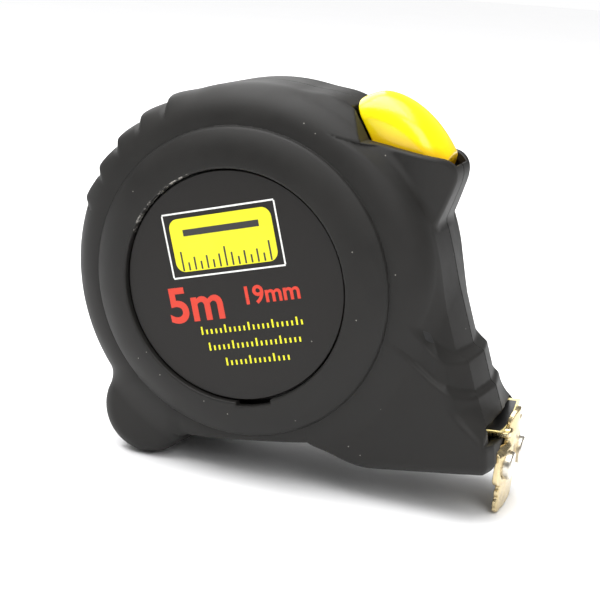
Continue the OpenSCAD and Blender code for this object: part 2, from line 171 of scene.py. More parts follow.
def skin(form: Form, low: Array, high: Array, step: float) -> tuple[Array, Array]:
    """Meshes a form's surface as quads, then pulls every point onto it.

    Args:
        form: The signed distance.
        low: Lowest corner of the space searched.
        high: Highest corner.
        step: Grid spacing.

    Returns:
        The points and the quads.
    """
    axes = [np.arange(a, b + step, step, dtype=np.float32) for a, b in zip(low, high)]
    grid = np.meshgrid(*axes, indexing="ij")
    value = form(*grid).astype(np.float32)
    inside = value < 0
    corner = [inside[i : i - 1 or None, j : j - 1 or None, k : k - 1 or None]
              for i in (0, 1) for j in (0, 1) for k in (0, 1)]
    total = sum(c.astype(np.uint8) for c in corner)
    active = (total > 0) & (total < 8)
    cell = np.stack(np.nonzero(active), axis=1)
    index = np.full(active.shape, -1, np.int64)
    index[active] = np.arange(len(cell))
    place, count = np.zeros((len(cell), 3)), np.zeros(len(cell))
    for axis in range(3):
        one = np.eye(3, dtype=int)[axis]
        others = np.eye(3, dtype=int)[[i for i in range(3) if i != axis]]
        for a in (0, 1):
            for b in (0, 1):
                start = cell + a * others[0] + b * others[1]
                v0, v1 = value[tuple(start.T)], value[tuple((start + one).T)]
                crosses = (v0 < 0) != (v1 < 0)
                share = v0 / np.where(crosses, v0 - v1, 1)
                place[crosses] += (start + share[:, None] * one)[crosses]
                count += crosses
    points = np.asarray(low) + step * place / count[:, None]
    quads = []
    for axis in range(3):
        p, q = [(1, 2), (2, 0), (0, 1)][axis]
        moved = np.moveaxis(inside, (axis, p, q), (0, 1, 2))
        cells = np.moveaxis(index, (axis, p, q), (0, 1, 2))
        first, second = moved[:-1, 1:-1, 1:-1], moved[1:, 1:-1, 1:-1]
        for spot, flip in ((first & ~second, False), (~first & second, True)):
            i, j, k = np.nonzero(spot)
            ring = [cells[i, j, k], cells[i, j + 1, k], cells[i, j + 1, k + 1], cells[i, j, k + 1]]
            quads.append(np.stack(ring[::-1] if flip else ring, axis=1))
    faces = np.concatenate(quads)
    for _ in range(3):
        here, slope = gradient(form, points)
        size = np.maximum((slope**2).sum(1), 0.25)
        shift = (here / size)[:, None] * slope
        reach = np.linalg.norm(shift, axis=1, keepdims=True)
        points = points - shift * np.minimum(1, 0.6 * step / np.maximum(reach, 1e-9))
    return points, faces


@dataclass
class Place:
    """Turns lengths round the reel's axis into the frame's metres."""

    axis: Vector = field(default_factory=lambda: sum(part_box("label_left"), Vector()) / 2)

    def metres(self, points: Array, side: Side) -> Array:
        """Places points in the frame.

        Args:
            points: Rows of x, w and z.
            side: The side that w points to.

        Returns:
            Rows of frame coordinates in metres.
        """
        placed = np.asarray(points, float) * MM
        placed[:, 1] *= side.value
        return placed + np.array([self.axis.x, 0, self.axis.z])


def add_piece(name: str, points: Array, faces: list | Array, body: str,
              finish: "bpy.types.Material", replaced: tuple[str, ...] = ()) -> bpy.types.Object:
    """Adds a mesh piece that rides on a body.

    Args:
        name: The piece's name.
        points: Rows of frame coordinates in metres.
        faces: Rows of point numbers.
        body: The body it rides on.
        finish: Its material.
        replaced: The frame's nodes it stands for.

    Returns:
        The new object.
    """
    mesh = bpy.data.meshes.new(name)
    mesh.from_pydata(np.asarray(points).tolist(), [], [list(map(int, f)) for f in faces])
    mesh.validate()
    mesh.materials.append(finish)
    piece = bpy.data.objects.new(name, mesh)
    bpy.context.scene.collection.objects.link(piece)
    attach(piece, body)
    if replaced:
        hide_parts(*replaced)
    LOG.info("%s: %d faces on %s", name, len(mesh.polygons), body)
    return piece


def thin_out(piece: bpy.types.Object, most: int) -> None:
    """Thins a piece that has too many triangles, most where it is flattest.

    Args:
        piece: The piece.
        most: How many triangles it may keep.
    """
    triangles = sum(len(p.vertices) - 2 for p in piece.data.polygons)
    if triangles <= most:
        return
    change = piece.modifiers.new("thin", "DECIMATE")
    change.ratio = most / triangles
    seen = piece.evaluated_get(bpy.context.evaluated_depsgraph_get())
    mesh = bpy.data.meshes.new_from_object(seen)
    piece.modifiers.clear()
    old, piece.data = piece.data, mesh
    name = old.name
    bpy.data.meshes.remove(old)
    mesh.name = name


def shade_by_form(piece: bpy.types.Object, form: Form, place: Place, side: Side) -> None:
    """Gives a piece the normals of the form it was meshed from.

    Args:
        piece: The piece.
        form: The signed distance it follows.
        place: Where the reel's axis lies.
        side: The side it is on.
    """
    mesh = piece.data
    co = np.zeros(len(mesh.vertices) * 3)
    mesh.vertices.foreach_get("co", co)
    points = (co.reshape(-1, 3) - [place.axis.x, 0, place.axis.z]) / MM
    points[:, 1] *= side.value
    _, slope = gradient(form, points, 0.05)
    slope[:, 1] *= side.value
    slope /= np.maximum(np.linalg.norm(slope, axis=1, keepdims=True), 1e-9)
    mesh.shade_smooth()
    mesh.normals_split_custom_set_from_vertices(slope.tolist())


# ---- finishes --------------------------------------------------------------------------------


class Wiring:
    """A short way to place and join shader nodes."""

    def __init__(self, tree: bpy.types.NodeTree) -> None:
        """Keeps the tree that nodes go into."""
        self.tree = tree

    def add(self, kind: str, inputs: dict | None = None, **settings: object) -> bpy.types.Node:
        """Places a node.

        Args:
            kind: Blender's name for the node type.
            inputs: Values or sockets for its inputs, by name or number.
            **settings: Properties of the node.

        Returns:
            The new node.
        """
        node = self.tree.nodes.new(kind)
        for key, value in settings.items():
            setattr(node, key, value)
        for key, value in (inputs or {}).items():
            if isinstance(value, bpy.types.NodeSocket):
                self.tree.links.new(value, node.inputs[key])
            else:
                node.inputs[key].default_value = value
        return node

    def math(self, operation: str, *values: object, clamp: bool = False) -> bpy.types.NodeSocket:
        """One step of arithmetic on values or sockets."""
        inputs = dict(enumerate(values))
        return self.add("ShaderNodeMath", inputs, operation=operation, use_clamp=clamp).outputs[0]

    def mix(self, share: object, first: object, second: object) -> bpy.types.NodeSocket:
        """Blends two colours by a share."""
        return self.add("ShaderNodeMix", {0: share, 6: first, 7: second}, data_type="RGBA").outputs[2]

    def spread(self, value: object, a: float, b: float, c: float, d: float) -> bpy.types.NodeSocket:
        """Maps a value from the range a to b onto the range c to d, and holds it there."""
        return self.add("ShaderNodeMapRange", {0: value, 1: a, 2: b, 3: c, 4: d}).outputs[0]

    def millimetres(self) -> bpy.types.NodeSocket:
        """The piece's own coordinates in millimetres."""
        own = self.add("ShaderNodeTexCoord").outputs["Object"]
        return self.add("ShaderNodeVectorMath", {0: own, "Scale": 1000.0}, operation="SCALE").outputs[0]


class Effect(Enum):
    """The shared effects, each one node group."""

    GRAIN = "fine grain"
    MOTTLE = "mottle"
    DUST = "dust specks"
    SCRATCH = "scratches"
    ARC = "rubbed arc"


class Effects:
    """Builds each shared effect once and places it in materials."""

    def __init__(self) -> None:
        """Starts with no groups made."""
        self.made: dict[Effect, bpy.types.NodeTree] = {}

    def place(self, wiring: Wiring, effect: Effect, **values: float) -> bpy.types.NodeSocket:
        """Places an effect in a material.

        Args:
            wiring: Where it goes.
            effect: Which effect.
            **values: Its inputs, with spaces in their names written as underscores.

        Returns:
            The effect's output socket.
        """
        if effect not in self.made:
            builder = getattr(self, "_" + effect.name.lower())
            tree = bpy.data.node_groups.new(effect.value, "ShaderNodeTree")
            builder(tree)
            self.made[effect] = tree
        node = wiring.tree.nodes.new("ShaderNodeGroup")
        node.node_tree = self.made[effect]
        for key, value in values.items():
            node.inputs[key.replace("_", " ")].default_value = value
        return node.outputs[0]

    @staticmethod
    def _sockets(tree: bpy.types.NodeTree, output: str, **inputs: float) -> tuple[Wiring, dict, dict]:
        """Makes a group's inputs and its one output.

        Args:
            tree: The group.
            output: The output's name.
            **inputs: The inputs' usual values, with spaces in their names written as underscores.

        Returns:
            What places nodes in the group, its inputs inside, and its output inside.
        """
        for name, value in inputs.items():
            made = tree.interface.new_socket(name.replace("_", " "), in_out="INPUT",
                                             socket_type="NodeSocketFloat")
            made.default_value = value
        tree.interface.new_socket(output, in_out="OUTPUT", socket_type="NodeSocketFloat")
        wiring = Wiring(tree)
        start = wiring.add("NodeGroupInput").outputs
        return wiring, start, wiring.add("NodeGroupOutput").inputs

    def _grain(self, tree: bpy.types.NodeTree) -> None:
        """Fine moulded grain as a height from 0 to 1.

        Args:
            tree: The group to fill.
        """
        w, start, end = self._sockets(tree, "Height", Per_mm=4.0, Coarse=0.35)
        where = w.millimetres()
        fine = w.add("ShaderNodeTexNoise", {"Vector": where, "Scale": start["Per mm"], "Detail": 3.0})
        broad = w.add("ShaderNodeTexNoise", {"Vector": where, "Scale": 0.6, "Detail": 2.0})
        share = w.math("MULTIPLY", broad.outputs[0], start["Coarse"])
        tree.links.new(w.math("ADD", fine.outputs[0], share), end[0])

    def _mottle(self, tree: bpy.types.NodeTree) -> None:
        """Slow cloudy change from 0 to 1.

        Args:
            tree: The group to fill.
        """
        w, start, end = self._sockets(tree, "Mask", Size_mm=8.0, Sharpness=1.0)
        scale = w.math("DIVIDE", 1.0, start["Size mm"])
        cloud = w.add("ShaderNodeTexNoise", {"Vector": w.millimetres(), "Scale": scale, "Detail": 4.0,
                                             "Roughness": 0.6})
        centred = w.math("SUBTRACT", cloud.outputs[0], 0.5)
        wide = w.math("MULTIPLY", centred, w.math("MULTIPLY", start["Sharpness"], 3.0))
        tree.links.new(w.math("ADD", wide, 0.5, clamp=True), end[0])

    def _dust(self, tree: bpy.types.NodeTree) -> None:
        """Sparse specks of dust as a mask.

        Args:
            tree: The group to fill.
        """
        w, start, end = self._sockets(tree, "Mask", Spacing_mm=2.2, Share=0.12, Speck_mm=0.12)
        where = w.millimetres()
        scale = w.math("DIVIDE", 1.0, start["Spacing mm"])
        cells = w.add("ShaderNodeTexVoronoi", {"Vector": where, "Scale": scale, "Randomness": 1.0})
        pick = w.add("ShaderNodeSeparateColor", {0: cells.outputs["Color"]}).outputs[0]
        chosen = w.math("LESS_THAN", pick, start["Share"])
        near = w.math("LESS_THAN", w.math("MULTIPLY", cells.outputs["Distance"], start["Spacing mm"]),
                      start["Speck mm"])
        tree.links.new(w.math("MULTIPLY", chosen, near), end[0])

    def _scratch(self, tree: bpy.types.NodeTree) -> None:
        """Fine straight rubbing marks as a value from 0 to 1.

        Args:
            tree: The group to fill.
        """
        w, start, end = self._sockets(tree, "Mask", Per_mm=2.0, Stretch=12.0)
        parts = w.add("ShaderNodeSeparateXYZ", {0: w.millimetres()}).outputs
        long = w.math("DIVIDE", parts[2], start["Stretch"])
        joined = w.add("ShaderNodeCombineXYZ", {0: parts[0], 1: parts[1], 2: long}).outputs[0]
        marks = w.add("ShaderNodeTexNoise", {"Vector": joined, "Scale": start["Per mm"], "Detail": 2.0})
        tree.links.new(w.spread(marks.outputs[0], 0.4, 0.62, 0.0, 1.0), end[0])

    def _arc(self, tree: bpy.types.NodeTree) -> None:
        """A rubbed arc round an axis along y, as a broken mask.

        Args:
            tree: The group to fill.
        """
        w, start, end = self._sockets(tree, "Mask", Axis_x=0.0, Axis_z=0.0, Radius=20.0, Width=0.3,
                                      From=1.9, To=2.6)
        where = w.millimetres()
        parts = w.add("ShaderNodeSeparateXYZ", {0: where}).outputs
        dx = w.math("SUBTRACT", parts[0], start["Axis x"])
        dz = w.math("SUBTRACT", parts[2], start["Axis z"])
        radius = w.math("SQRT", w.math("ADD", w.math("MULTIPLY", dx, dx), w.math("MULTIPLY", dz, dz)))
        off = w.math("ABSOLUTE", w.math("SUBTRACT", radius, start["Radius"]))
        close = w.math("LESS_THAN", off, start["Width"])
        angle = w.math("ARCTAN2", dz, dx)
        held = w.math("MULTIPLY", w.math("GREATER_THAN", angle, start["From"]),
                      w.math("LESS_THAN", angle, start["To"]))
        rough = w.add("ShaderNodeTexNoise", {"Vector": where, "Scale": 1.6, "Detail": 4.0}).outputs[0]
        broken = w.spread(rough, 0.5, 0.66, 0.0, 1.0)
        tree.links.new(w.math("MULTIPLY", w.math("MULTIPLY", close, held), broken), end[0])


EFFECTS = Effects()
# The button's painted shade is laid along this way out of its deck.
DECK_OUT = ((0, 0.284), (2, 0.959))  # the way out of the button's deck, as shares of x and z


@dataclass(frozen=True)
class Finish:
    """A surface finish: its colour, gloss, grain and wear, with painted shade where a shade colour is given.
    """

    name: str
    colour: Colour
    roughness: float
    metallic: float = 0.0
    specular: float = 0.5
    coat: float = 0.0
    tone: float = 0.15
    tone_mm: float = 9.0
    gloss_swing: float = 0.08
    grain_per_mm: float = 4.0
    grain_mm: float = 0.015
    dust: float = 0.0
    scratch: float = 0.0
    rubbed: bool = False
    # The last three fields lay painted shade: the shade colour in full below the first height out of the
    # button's deck, gone above the second.
    light_from: float = 0.0
    light_to: float = 0.0
    shade: Colour | None = None

    def make(self) -> bpy.types.Material:
        """Builds the material.

        Returns:
            The finished material.
        """
        material = bpy.data.materials.new(self.name)
        material.use_nodes = True
        tree = material.node_tree
        tree.nodes.clear()
        w = Wiring(tree)
        shader = w.add("ShaderNodeBsdfPrincipled", {"Metallic": self.metallic,
                                                    "Specular IOR Level": self.specular,
                                                    "Coat Weight": self.coat, "Coat Roughness": 0.08})
        out = w.add("ShaderNodeOutputMaterial")
        tree.links.new(shader.outputs[0], out.inputs[0])
        cloud = EFFECTS.place(w, Effect.MOTTLE, Size_mm=self.tone_mm)
        low = [c * (1 - self.tone) for c in self.colour] + [1]
        high = [min(1, c * (1 + self.tone)) for c in self.colour] + [1]
        colour = w.mix(cloud, low, high)
        # Painted shade: the colour turns to the shade colour lower down on the piece, standing in for the
        # shading on the button's lower flank.
        if self.shade:
            height = w.add("ShaderNodeSeparateXYZ", {0: w.millimetres()}).outputs
            forward, upward = (w.math("MULTIPLY", height[axis], share) for axis, share in DECK_OUT)
            slope = w.math("ADD", forward, upward)
            share = w.spread(slope, self.light_from, self.light_to, 1.0, 0.0)
            colour = w.mix(share, colour, [*self.shade, 1])
        gloss = w.spread(cloud, 0, 1, self.roughness - self.gloss_swing, self.roughness + self.gloss_swing)
        if self.scratch:
            marks = EFFECTS.place(w, Effect.SCRATCH)
            gloss = w.math("ADD", gloss, w.math("MULTIPLY", marks, self.scratch), clamp=True)
        if self.dust:
            specks = EFFECTS.place(w, Effect.DUST, Share=self.dust)
            colour = w.mix(w.math("MULTIPLY", specks, 0.55), colour, [0.42, 0.4, 0.36, 1])
        if self.rubbed:
            axis = Place().axis / MM
            arc = EFFECTS.place(w, Effect.ARC, Axis_x=axis.x, Axis_z=axis.z, Radius=21.65, Width=0.16,
                                From=math.radians(108), To=math.radians(152))
            colour = w.mix(w.math("MULTIPLY", arc, 0.6), colour, [0.5, 0.48, 0.44, 1])
        tree.links.new(colour, shader.inputs["Base Color"])
        tree.links.new(gloss, shader.inputs["Roughness"])
        grain = EFFECTS.place(w, Effect.GRAIN, Per_mm=self.grain_per_mm)
        bump = w.add("ShaderNodeBump", {"Height": grain, "Strength": 1.0, "Distance": self.grain_mm * MM})
        tree.links.new(bump.outputs[0], shader.inputs["Normal"])
        return material


class Finishes:
    """Every finish on the tape measure, made when first asked for."""

    RUBBER = Finish("soft black rubber", (0.0125, 0.0118, 0.0108), 0.55, specular=0.27, tone=0.14,
                    gloss_swing=0.05, grain_per_mm=5.0, grain_mm=0.012, dust=0.1, rubbed=True)
    SHELL = Finish("black moulded plastic", (0.012, 0.012, 0.012), 0.45, grain_mm=0.006)
    LABEL = Finish("satin black label", (0.009, 0.0078, 0.0068), 0.36, specular=0.25, tone=0.1,
                   gloss_swing=0.04, grain_per_mm=7.0, grain_mm=0.003, dust=0.03)
    YELLOW_INK = Finish("yellow ink", (0.78, 0.74, 0.008), 0.5, tone=0.03, grain_mm=0.002)
    RED_INK = Finish("red ink", (0.62, 0.035, 0.012), 0.5, tone=0.03, grain_mm=0.002)
    WHITE_INK = Finish("white ink", (0.85, 0.85, 0.82), 0.4, tone=0.03, grain_mm=0.002)
    BLACK_INK = Finish("black ink", (0.015, 0.015, 0.015), 0.4, tone=0.03, grain_mm=0.002)
    # The button's orange lower flank is painted shade, laid by its last three values.
    BUTTON = Finish("glossy yellow plastic", (0.97, 0.78, 0.0), 0.24, coat=0.3, tone=0.02, gloss_swing=0.03,
                    grain_per_mm=2.0, grain_mm=0.003, shade=(0.93, 0.40, 0.0), light_from=52.2,
                    light_to=57.5)
    NICKEL = Finish("nickel plate", (0.62, 0.51, 0.30), 0.24, metallic=1.0, tone=0.12, tone_mm=2.5,
                    gloss_swing=0.07, grain_per_mm=1.5, grain_mm=0.02, scratch=0.12)
    MAGNET = Finish("plated magnet", (0.72, 0.68, 0.6), 0.3, metallic=1.0, tone=0.1, tone_mm=2.0,
                    grain_mm=0.006, scratch=0.1)
    RIVET = Finish("steel rivet", (0.7, 0.68, 0.63), 0.3, metallic=1.0, tone=0.1, grain_mm=0.004)
    STEEL = Finish("bright steel", (0.66, 0.65, 0.62), 0.28, metallic=1.0, tone=0.08, grain_mm=0.004,
                   scratch=0.2)
    CLIP = Finish("brushed clip steel", (0.58, 0.57, 0.54), 0.34, metallic=1.0, tone=0.07, grain_mm=0.005,
                  scratch=0.3)
    SPRING_STEEL = Finish("blued spring steel", (0.28, 0.28, 0.3), 0.32, metallic=1.0, tone=0.1,
                          grain_mm=0.004, scratch=0.2)
    SCREW = Finish("zinc screw", (0.5, 0.5, 0.5), 0.36, metallic=1.0, tone=0.12, tone_mm=1.5,
                   grain_mm=0.005)
    BLADE = Finish("yellow blade lacquer", (0.86, 0.72, 0.30), 0.3, coat=0.2, tone=0.05, grain_mm=0.003,
                   scratch=0.1)
    SPOOL = Finish("ivory acetal", (0.66, 0.63, 0.55), 0.42, tone=0.05, grain_mm=0.006)
    PAD = Finish("brake rubber", (0.03, 0.03, 0.03), 0.7, grain_mm=0.02)
    made: dict[str, bpy.types.Material] = {}

    @classmethod
    def of(cls, finish: Finish) -> bpy.types.Material:
        """The material of a finish, built the first time it is asked for.

        Args:
            finish: The finish.

        Returns:
            Its material.
        """
        if finish.name not in cls.made:
            cls.made[finish.name] = finish.make()
        return cls.made[finish.name]


# ---- the jacket ------------------------------------------------------------------------------


@dataclass
class Jacket:
    """The soft jacket in two halves, with its rings, ribs, nose, heel and button pod."""

    place: Place
    rim_r: float = 35.97
    half: float = 14.8
    shoulder: float = 7.2
    wall: float = 1.75
    ring_r: float = 28.7
    window_r: float = 21.5
    ring_foot: float = 15.35
    lip: float = 17.98
    ground: float = -34.78
    nose_half: float = 13.75
    facets: tuple[tuple[Point, Point], ...] = (
        ((35.34, 8.2), (39.3, -12.9)), ((41.4, -15.1), (42.3, -19.9)), ((43.3, -21.2), (44.45, -26.9)),
    )
    mouth_roof: float = -26.6
    mouth_floor: float = -30.5
    mouth_half: float = 9.85
    mouth_lip: float = 43.9
    heel_at: Point = (-23.45, -25.75)
    heel_r: float = 8.95
    heel_half: float = 13.7
    deck_at: Point = (31.07, 22.57)
    deck_slope: float = math.radians(16.5)
    pod_half: float = 8.95
    slot_half: float = 6.75
    rib_first: float = 102.0
    rib_step: float = 10.7
    rib_rise: float = 0.8
    rib_count: int = 5
    screw_ring: float = 31.1
    screw_angles: tuple[float, ...] = (128, 225, 78, -42)
    step: float = 0.36
    most: int = 190_000

    def deck(self, x: Array, z: Array) -> tuple[Array, Array]:
        """Distances forward along the deck and out from it."""
        return turned(x - self.deck_at[0], z - self.deck_at[1], self.deck_slope)

    def ribs(self, angle: Array, w: Array) -> Array:
        """How far the overlapping pads and the swell behind the button stand out of the rim.

        Args:
            angle: Degrees round the reel's axis, up from forward.
            w: Distances out from the parting plane.

        Returns:
            The height over the plain rim.
        """
        slow, steep = 0.82, 0.18
        along = (angle - self.rib_first) / self.rib_step
        part = along - np.floor(along)
        saw = np.minimum(part / slow, (1 - part) / steep)
        groove = 0.5 * (1 - ease(saw, 0, 0.25)) * (along > 0.5)
        pad = self.rib_rise * ease(saw, -0.05, 1.05) - groove
        on = (along > 0) & (along < self.rib_count)
        fade = 1 - ease(w, 10.5, 14.2)
        swell = 1.25 * (1 - ease(angle, 58, 72)) * ease(angle, 40, 50) * (1 - ease(w, 6.5, 10.5))
        return np.where(on, pad, 0) * fade + swell

    def nose(self, x: Array, w: Array, z: Array) -> Array:
        """The stepped nose, with its front swept back from the parting line, and the foot's lip.

        Args:
            x: Distances forward.
            w: Distances out from the parting plane.
            z: Heights.

        Returns:
            The signed distance.
        """
        sweep = 0.115 * w + 0.006 * w * w

        def past(start: Span, curl: float) -> Array:
            """How far forward a point counts, as the front falls away beyond a facet's edge.

            Args:
                start: Where the facet's edge lies, out from the parting plane.
                curl: How fast the slope grows.

            Returns:
                The distance forward to test.
            """
            more = np.maximum(w - start, 0)
            return x + 0.3 * more + curl * more * more

        first = ahead(past(7.6, 0.1) + sweep, z, *self.facets[0])
        second = ahead(past(7.3, 0.02) + sweep, z, *self.facets[1])
        low = ease(-z, 22.5, 29.5)
        fore = past(8.3 + 2.2 * low, 0.02) + sweep * (1 - low)
        third = np.maximum(ahead(fore, z, *self.facets[2]), fore - 45.12)
        tier_1 = edge(first, w - 11.9, 1.4)
        tier_2 = edge(second, w - 12.85, 1.0)
        tier_3 = edge(third, w - self.nose_half, 1.0)
        step_1 = z + 15.2 - 0.115 * (x - 39.9) ** 2
        step_2 = z + 21.4 - 0.3 * np.maximum(41.3 - x, 0) ** 1.4
        tier_2 = edge(tier_2, (step_1 + 0.85 * tier_2) / 1.2, 0.3)
        tier_3 = edge(tier_3, (step_2 + 0.85 * tier_3) / 1.2, 0.3)
        made = fillet(fillet(tier_1, tier_2, 0.35), tier_3, 0.35)
        made = edge(made, z - 8.6, 1.0)
        made = np.maximum(made, 12 - x)
        return edge(made, self.ground - z, 2.0)

    def taper(self, along: Array) -> Array:
        """How far the pod, its slot and the button narrow towards the front."""
        return 0.06 * np.maximum(along - 1, 0) ** 2

    def pod(self, x: Array, w: Array, z: Array) -> Array:
        """The raised housing round the button.

        Args:
            x: Distances forward.
            w: Distances out from the parting plane.
            z: Heights.

        Returns:
            The signed distance.
        """
        along, out = self.deck(x, z)
        top = edge(out, along - 9.9, 4.4)
        under = -ahead(x, z, (35.0, 8.5), (38.9, 14.6))
        made = edge(top, under, 3.0)
        made = np.maximum(made, np.maximum(-14 - along, -14.5 - out))
        return edge(made, w - self.pod_half + self.taper(along), 0.8)

    def outer(self, x: Array, w: Array, z: Array) -> Array:
        """The jacket's outer form, without its openings.

        Args:
            x: Distances forward.
            w: Distances out from the parting plane.
            z: Heights.

        Returns:
            The signed distance.
        """
        rho = np.hypot(x, z)
        angle = np.degrees(np.arctan2(z, x))
        body = edge(rho - self.rim_r - self.ribs(angle, w), w - self.half, self.shoulder)
        body = fillet(body, self.nose(x, w, z), 1.6)
        arch = np.maximum(z + 30.1, ahead(x, z, (10.6, -30.0), (21.0, -34.8)))
        arch = np.maximum(arch, -16.6 - x)
        body = edge(body, -arch, 0.7)
        heel = edge(np.hypot(x - self.heel_at[0], z - self.heel_at[1]) - self.heel_r,
                    w - self.heel_half, 3.2)
        body = fillet(body, heel, 2.2)
        along, out = self.deck(x, z)
        reach = 33.3 + 0.075 * np.maximum(52 - angle, 0) + 0.4 * np.maximum(angle - 60, 0)
        scoop = edge(reach - rho, self.pod_half - w, 4.2)
        scoop = np.maximum(scoop, np.maximum(out + 0.4, 8.0 - z))
        body = edge(body, -scoop, 0.9)
        body = fillet(body, self.pod(x, w, z), 1.2)
        cut = np.maximum(-out, -(0.92 * (x - 23.98) + 0.39 * (z - 24.7)))
        body = edge(body, -cut, 0.15)
        t = np.clip((rho - self.window_r) / (self.ring_r - self.window_r), 0, 1)
        dome = self.ring_foot + (self.lip - self.ring_foot) * (1 - t * t) ** 0.9
        ring = edge((w - dome) * 0.9, rho - self.ring_r, 0.3)
        return fillet(body, ring, 0.15)

    def openings(self, x: Array, w: Array, z: Array, body: Array) -> Array:
        """Cuts the windows, the mouth, the button's slot and the strike plate's seat.

        Args:
            x: Distances forward.
            w: Distances out from the parting plane.
            z: Heights.
            body: Signed distance to the jacket before the cuts.

        Returns:
            The signed distance after them.
        """
        rho = np.hypot(x, z)
        window = np.maximum(rho - self.window_r, 2.0 - w)
        made = edge(body, -window, 0.35)
        pry = np.maximum(np.maximum(np.abs(x - 2.4) - 3.4, rho - 22.25), np.maximum(16.2 - w, z))
        made = edge(made, -pry, 0.15)
        slot = np.maximum(z - self.mouth_roof, self.mouth_floor - z + 0.1 * w)
        deep = np.maximum(slot, np.maximum(w - self.mouth_half, 30 - x))
        shallow = np.maximum(slot, np.maximum(w - 20, self.mouth_lip - x))
        made = edge(made, -np.minimum(deep, shallow), 0.25)
        along, out = self.deck(x, z)
        well = np.maximum(slab(along, -11.8, 8.1), -6 - out)
        well = np.maximum(well, w - self.slot_half + self.taper(along))
        made = edge(made, -well, 0.3)
        strike = np.maximum(slab(z, -33.85, -31.85), np.maximum(w - 9.05, 44.35 - x))
        return np.maximum(made, -strike)

    def solid(self, side: Side) -> Form:
        """One half of the jacket as a form.

        Args:
            side: Which half.

        Returns:
            Its signed distance.
        """

        def form(x: Array, w: Array, z: Array) -> Array:
            """Signed distance to the half.

            Args:
                x: Distances forward.
                w: Distances out from the parting plane.
                z: Heights.

            Returns:
                The signed distance.
            """
            outer = self.outer(x, w, z)
            made = self.openings(x, w, z, np.maximum(outer, -self.wall - outer))
            if side is Side.CLIP:
                for turn in self.screw_angles:
                    sx = self.screw_ring * math.cos(math.radians(turn))
                    sz = self.screw_ring * math.sin(math.radians(turn))
                    made = edge(made, 2.8 - np.hypot(x - sx, z - sz), 0.35)
            return edge(made, 0.03 - w, 0.2)

        return form

    def shell(self, side: Side) -> bpy.types.Object:
        """The moulded shell, drawn in under the jacket's wall wherever the jacket is narrower.

        Args:
            side: Which half.

        Returns:
            The shell.
        """
        core, under = 24, 1.15
        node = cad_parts[f"case_{side.tag}"]
        middle = Vector((self.place.axis.x, 0, self.place.axis.z))
        spots = np.array([node.matrix_world @ v.co - middle for v in node.data.vertices]) / MM

        def form(x: Array, w: Array, z: Array) -> Array:
            """The jacket's outer form on both sides."""
            return self.outer(x, np.abs(w), z)

        outside = np.hypot(spots[:, 0], spots[:, 2]) > core
        for _ in range(4):
            value, slope = gradient(form, spots)
            slope[:, 1] *= np.abs(spots[:, 1]) > 0.2
            spots -= slope * (np.maximum(value + under, 0) * outside)[:, None]
        faces = [list(p.vertices) for p in node.data.polygons]
        return add_piece(f"shell_{side.tag}", self.place.metres(spots, Side.CLIP), faces, "case",
                         Finishes.of(Finishes.SHELL), (f"case_{side.tag}",))

    def build(self, side: Side) -> bpy.types.Object:
        """Meshes and dresses one half.

        Args:
            side: Which half.

        Returns:
            The half.
        """
        form = self.solid(side)
        step = self.step
        points, faces = skin(form, [-37.2, -1.4, -36.2], [46.4, 18.8, 37.2], step)
        if side is Side.LABEL:
            faces = faces[:, ::-1]
        piece = add_piece(f"jacket_{side.tag}", self.place.metres(points, side), faces, "case",
                          Finishes.of(Finishes.RUBBER), (f"grip_{side.tag}",))
        thin_out(piece, self.most)
        shade_by_form(piece, form, self.place, side)
        return piece


@dataclass
class Button:
    """The push button: a crowned yellow cap with its stem."""

    place: Place
    jacket: Jacket
    half: float = 6.35
    crest: float = 8.15
    step: float = 0.25
    most: int = 90_000

    def form(self, x: Array, w: Array, z: Array) -> Array:
        """Signed distance to the button.

        Args:
            x: Distances forward.
            w: Distances out from the parting plane.
            z: Heights.

        Returns:
            The signed distance.
        """
        w = np.abs(w)
        along, out = self.jacket.deck(x, z)
        bow = np.where(along > -7.3, 0.038, 0.1) * (along + 7.3) ** 2
        crown = 2.9 * (w / np.maximum(self.half - self.jacket.taper(along), 0.5)) ** 2.4
        top = (out - self.crest + bow + crown) / 1.15
        back = -(0.92 * (x - 24.05) + 0.39 * (z - 24.7))
        back = np.where(out > 0, back, np.minimum(back, -11.3 - along + 4.0))
        front = np.maximum(ahead(along, out, (7.3, 3.2), (6.6, 0.0)), along - 7.3)
        sides = w - self.half + self.jacket.taper(along)
        cap = edge(edge(top, sides, 1.5), np.maximum(back, front), 0.3)
        cap = np.maximum(cap, -5 - out)
        stem = np.maximum(np.maximum(slab(along, -3.4, 2.9), slab(out, -11, -4)), w - 3.9)
        pocket = np.maximum(np.hypot(along + 6.5, w) - 2.2, out + 1.6)
        return np.maximum(np.minimum(cap, stem), -pocket)

    def build(self) -> bpy.types.Object:
        """Meshes and dresses the button.

        Returns:
            The button.
        """
        points, faces = skin(self.form, [14, -7.2, 8], [42, 7.2, 35.5], self.step)
        piece = add_piece("push_button", self.place.metres(points, Side.CLIP), faces, "button",
                          Finishes.of(Finishes.BUTTON), ("lock_button",))
        thin_out(piece, self.most)
        shade_by_form(piece, self.form, self.place, Side.CLIP)
        return piece


